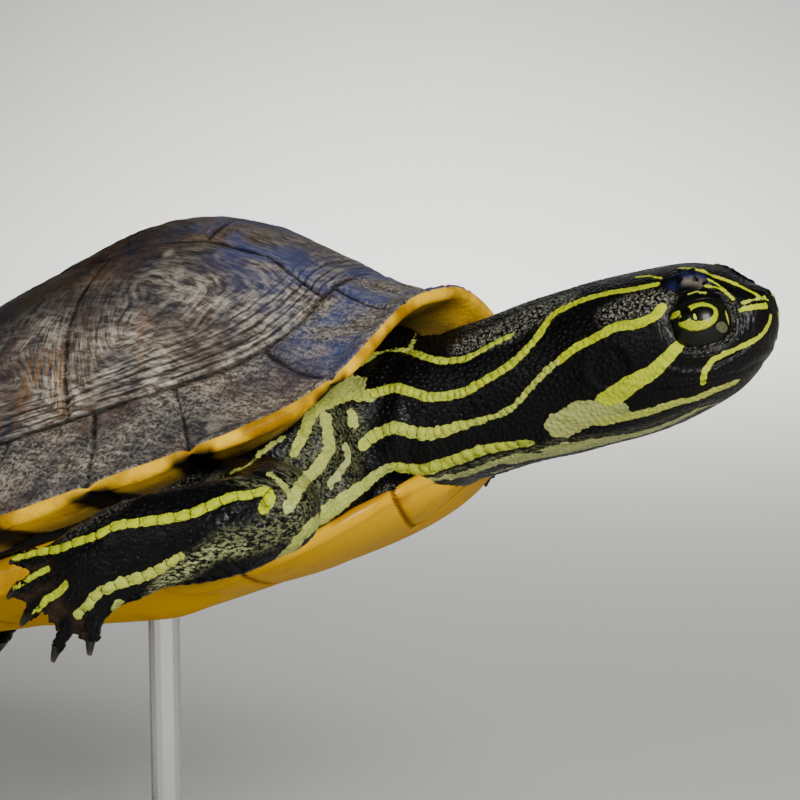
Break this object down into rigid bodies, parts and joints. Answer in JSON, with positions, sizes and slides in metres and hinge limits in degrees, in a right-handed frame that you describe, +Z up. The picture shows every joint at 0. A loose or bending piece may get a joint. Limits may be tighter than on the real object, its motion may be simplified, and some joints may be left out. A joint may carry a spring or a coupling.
{
  "type": "cooter turtle",
  "caption": "Life-size swimming cooter turtle with outstretched striped neck, swept-back legs and domed shell, held over a plain flat base by short rods.",
  "frame": {"origin": "centre of the underside of the stand's base, on the floor", "axes": "+X towards the turtle's head, +Y to its left, +Z up"},
  "size_m": [0.2695, 0.1488, 0.1651],
  "materials": {
    "carapace": "wet satin, rugose",
    "plastron": "wet gloss",
    "skin": "wet, scaled, striped",
    "eye": "wet gloss",
    "claw": "satin horn",
    "base": "satin",
    "rod": "brushed"
  },
  "bodies": {
    "root": {"carapace": "carapace", "plastron": "plastron", "trunk": "skin", "neck_base": "skin", "neck_middle": "skin", "neck_front": "skin", "head": "skin", "lower_jaw": "skin", "eye_left": "eye", "eye_right": "eye", "foreleg_upper_right": "skin", "foreleg_forearm_right": "skin", "foreleg_foot_right": "skin", "foreleg_right_claw_1": "claw", "foreleg_right_claw_2": "claw", "foreleg_right_claw_3": "claw", "foreleg_right_claw_4": "claw", "foreleg_right_claw_5": "claw", "hindleg_thigh_right": "skin", "hindleg_shin_right": "skin", "hindleg_foot_right": "skin", "hindleg_right_claw_1": "claw", "hindleg_right_claw_2": "claw", "hindleg_right_claw_3": "claw", "hindleg_right_claw_4": "claw", "foreleg_upper_left": "skin", "foreleg_forearm_left": "skin", "foreleg_foot_left": "skin", "foreleg_left_claw_1": "claw", "foreleg_left_claw_2": "claw", "foreleg_left_claw_3": "claw", "foreleg_left_claw_4": "claw", "foreleg_left_claw_5": "claw", "hindleg_thigh_left": "skin", "hindleg_shin_left": "skin", "hindleg_foot_left": "skin", "hindleg_left_claw_1": "claw", "hindleg_left_claw_2": "claw", "hindleg_left_claw_3": "claw", "hindleg_left_claw_4": "claw", "tail": "skin", "stand_base": "base", "stand_rod_front": "rod", "stand_rod_rear": "rod"}
  },
  "joints": []
}
